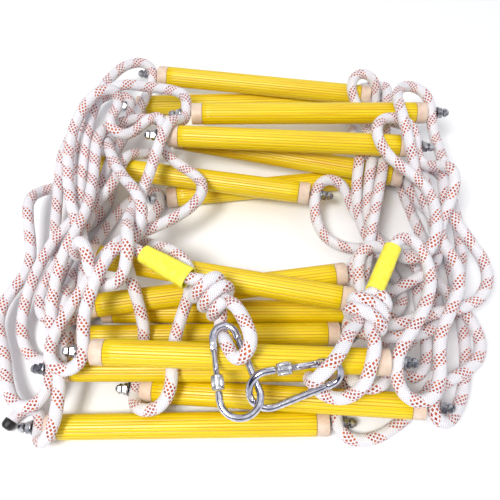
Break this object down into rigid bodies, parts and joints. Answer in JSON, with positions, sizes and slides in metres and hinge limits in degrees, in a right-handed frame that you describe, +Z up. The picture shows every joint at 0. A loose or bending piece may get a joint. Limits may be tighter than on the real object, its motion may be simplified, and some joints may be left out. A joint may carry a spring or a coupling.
{
  "type": "escape rope ladder",
  "caption": "Folded emergency escape rope ladder: ribbed resin rungs bolted between two braided ropes, with knotted eyes and linked screw-lock carabiners to hang it by.",
  "frame": {"origin": "on the standing surface, under the middle of the box round the rungs and carabiners", "axes": "+X along the rungs, to the right as the two piles are seen from the front; +Y from the front pile to the back pile; +Z up"},
  "size_m": [0.5528, 0.5195, 0.1271],
  "materials": {
    "rung_resin": "satin, ribbed along its length",
    "plug_resin": "moulded cream resin, slightly translucent",
    "rope": "braided white fibre with red tracer bands",
    "sleeve": "smooth soft tube",
    "plated_steel": "polished zinc plate",
    "nut_steel": "knurled and plated"
  },
  "bodies": {
    "ladder": {"rung_01_tube": "rung_resin", "rung_01_plug_left": "plug_resin", "rung_01_plug_right": "plug_resin", "rung_02_tube": "rung_resin", "rung_02_plug_left": "plug_resin", "rung_02_plug_right": "plug_resin", "rung_03_tube": "rung_resin", "rung_03_plug_left": "plug_resin", "rung_03_plug_right": "plug_resin", "rung_04_tube": "rung_resin", "rung_04_plug_left": "plug_resin", "rung_04_plug_right": "plug_resin", "rung_05_tube": "rung_resin", "rung_05_plug_left": "plug_resin", "rung_05_plug_right": "plug_resin", "rung_06_tube": "rung_resin", "rung_06_plug_left": "plug_resin", "rung_06_plug_right": "plug_resin", "rung_07_tube": "rung_resin", "rung_07_plug_left": "plug_resin", "rung_07_plug_right": "plug_resin", "rung_08_tube": "rung_resin", "rung_08_plug_left": "plug_resin", "rung_08_plug_right": "plug_resin", "rung_09_tube": "rung_resin", "rung_09_plug_left": "plug_resin", "rung_09_plug_right": "plug_resin", "rung_10_tube": "rung_resin", "rung_10_plug_left": "plug_resin", "rung_10_plug_right": "plug_resin", "rung_11_tube": "rung_resin", "rung_11_plug_left": "plug_resin", "rung_11_plug_right": "plug_resin", "rung_12_tube": "rung_resin", "rung_12_plug_left": "plug_resin", "rung_12_plug_right": "plug_resin", "rung_13_tube": "rung_resin", "rung_13_plug_left": "plug_resin", "rung_13_plug_right": "plug_resin", "rung_14_tube": "rung_resin", "rung_14_plug_left": "plug_resin", "rung_14_plug_right": "plug_resin", "rung_15_tube": "rung_resin", "rung_15_plug_left": "plug_resin", "rung_15_plug_right": "plug_resin", "rope_left": "rope", "rope_right": "rope", "sleeve_left": "sleeve", "sleeve_right": "sleeve", "knot_left": "rope", "knot_right": "rope"},
    "carabiner_left": {"carabiner_left_frame": "plated_steel", "carabiner_left_hinge_pin": "nut_steel"},
    "carabiner_left_gate": {"carabiner_left_gate": "plated_steel"},
    "carabiner_left_lock_nut": {"carabiner_left_lock_nut": "nut_steel"},
    "carabiner_right": {"carabiner_right_frame": "plated_steel", "carabiner_right_hinge_pin": "nut_steel"},
    "carabiner_right_gate": {"carabiner_right_gate": "plated_steel"},
    "carabiner_right_lock_nut": {"carabiner_right_lock_nut": "nut_steel"}
  },
  "joints": [
    {"name": "carabiner_left_swing", "type": "hinge", "parent": "ladder", "child": "carabiner_left", "pos_m": [-0.0258, -0.17287, 0.1], "axis": [-0.943, 0.3305, 0.0389], "range_deg": [0, 12]},
    {"name": "carabiner_right_swing", "type": "hinge", "parent": "ladder", "child": "carabiner_right", "pos_m": [0.0712, -0.20687, 0.096], "axis": [-0.943, 0.3305, 0.0389], "range_deg": [0, 12]},
    {"name": "carabiner_left_gate_hinge", "type": "hinge", "parent": "carabiner_left", "child": "carabiner_left_gate", "pos_m": [-0.03669, -0.17824, 0.09902], "axis": [0, -0.1789, 0.9839], "range_deg": [0, 18], "stiffness_Nm_per_rad": 0.3, "springref_deg": -20.05},
    {"name": "carabiner_right_gate_hinge", "type": "hinge", "parent": "carabiner_right", "child": "carabiner_right_gate", "pos_m": [0.06609, -0.19956, 0.1043], "axis": [0.1152, -0.7093, 0.6955], "range_deg": [0, 15], "stiffness_Nm_per_rad": 0.3, "springref_deg": -20.05},
    {"name": "carabiner_left_lock_slide", "type": "slide", "parent": "carabiner_left_gate", "child": "carabiner_left_lock_nut", "axis": [-0.1298, 0.9755, 0.1774], "range_m": [0, 0.006]},
    {"name": "carabiner_right_lock_slide", "type": "slide", "parent": "carabiner_right_gate", "child": "carabiner_right_lock_nut", "axis": [0.9883, 0.1524, -0.0083], "range_m": [0, 0.006]}
  ],
  "couplings": [
    {"joint": "carabiner_right_swing", "follows": "carabiner_left_swing", "ratio": 1}
  ]
}
